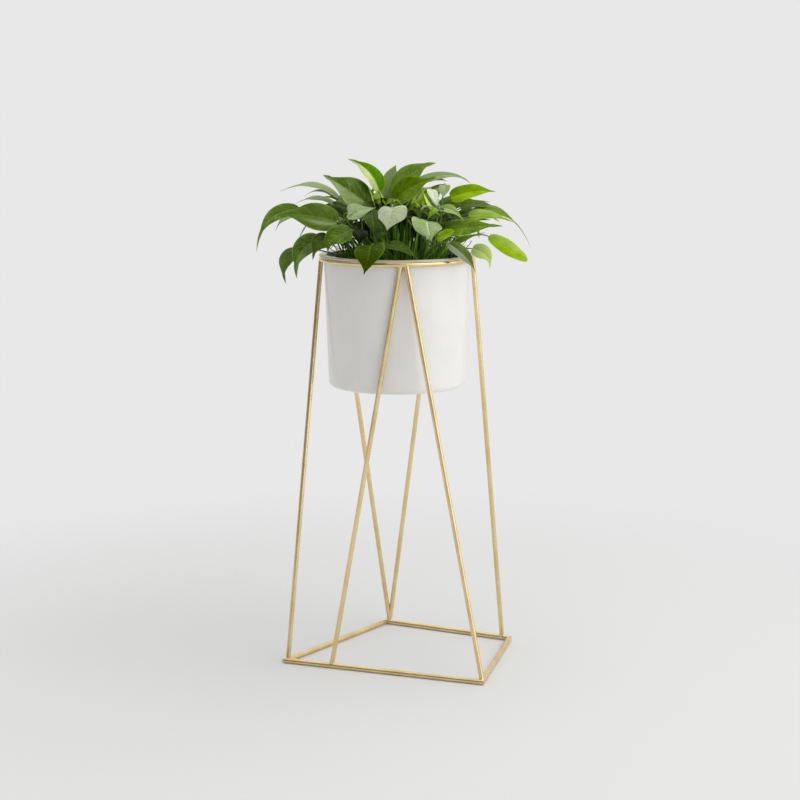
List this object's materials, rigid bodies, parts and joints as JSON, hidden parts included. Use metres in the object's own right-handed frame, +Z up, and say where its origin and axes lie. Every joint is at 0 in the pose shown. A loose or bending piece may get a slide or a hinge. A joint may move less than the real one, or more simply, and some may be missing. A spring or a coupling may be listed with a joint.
{
  "type": "plant stand",
  "caption": "Gold wire plant stand: a ring on splayed straight rods over a flat base frame, holding a white planter with a leafy plant that lifts out.",
  "frame": {"origin": "on the floor, straight under the middle of the ring", "axes": "+X runs to the right along the front base bar, +Y runs from the front of the stand to its back, +Z is up"},
  "size_m": [0.3686, 0.2899, 0.7448],
  "materials": {
    "gold_rod": "satin",
    "planter_glaze": "satin",
    "pot_plastic": "matte",
    "soil": "rough",
    "leaf_dark": "satin",
    "leaf_mid": "satin",
    "leaf_bright": "satin",
    "leaf_pale": "satin"
  },
  "bodies": {
    "stand": {"top_ring": "gold_rod", "leg_left": "gold_rod", "leg_front_middle": "gold_rod", "leg_front_right": "gold_rod", "leg_right": "gold_rod", "leg_back_left": "gold_rod", "leg_back_right": "gold_rod", "base_front_bar": "gold_rod", "base_right_bar": "gold_rod", "base_back_bar": "gold_rod", "base_left_bar": "gold_rod"},
    "planter": {"planter": "planter_glaze"},
    "plant": {"grow_pot": "pot_plastic", "potting_soil": "soil", "leaf_crown_left": "leaf_bright", "leaf_crown_right": "leaf_mid", "leaf_crown_front": "leaf_mid", "leaf_crown_back": "leaf_mid", "leaf_crown_long": "leaf_pale", "leaf_right_bright": "leaf_bright", "leaf_left_big": "leaf_mid", "leaf_left_narrow": "leaf_mid", "leaf_left_thin": "leaf_dark", "leaf_left_pale": "leaf_pale", "leaf_far_left": "leaf_mid", "leaf_left_dark": "leaf_dark", "leaf_left_inner": "leaf_dark", "leaf_left_small": "leaf_pale", "leaf_low_left_outer": "leaf_dark", "leaf_low_left_inner": "leaf_mid", "leaf_left_dark_small": "leaf_dark", "leaf_front_left": "leaf_mid", "leaf_pale_left": "leaf_pale", "leaf_heart": "leaf_pale", "leaf_pale_centre": "leaf_pale", "leaf_bright_small": "leaf_bright", "leaf_pale_right": "leaf_mid", "leaf_pale_small": "leaf_pale", "leaf_dark_right": "leaf_dark", "leaf_long_right": "leaf_mid", "leaf_lime_under": "leaf_bright", "leaf_dark_middle": "leaf_dark", "leaf_right_middle": "leaf_mid", "leaf_right_low": "leaf_mid", "leaf_lime_low": "leaf_bright", "leaf_lime_hanging": "leaf_bright", "leaf_front_right": "leaf_dark", "leaf_front_hanging": "leaf_dark", "leaf_front_low": "leaf_dark", "leaf_dark_centre": "leaf_dark", "leaf_dark_left": "leaf_dark", "leaf_new_left": "leaf_bright", "leaf_new_right": "leaf_bright", "leaf_round_green": "leaf_bright", "leaf_back_1": "leaf_mid", "leaf_back_2": "leaf_dark", "leaf_back_3": "leaf_mid", "leaf_back_4": "leaf_dark", "leaf_back_5": "leaf_mid", "leaves_back_small": "leaf_mid"}
  },
  "joints": [
    {"name": "planter_lift", "type": "slide", "parent": "stand", "child": "planter", "axis": [0, 0, 1], "range_m": [0, 0.25]},
    {"name": "grow_pot_lift", "type": "slide", "parent": "planter", "child": "plant", "axis": [0, 0, 1], "range_m": [0, 0.25]}
  ]
}
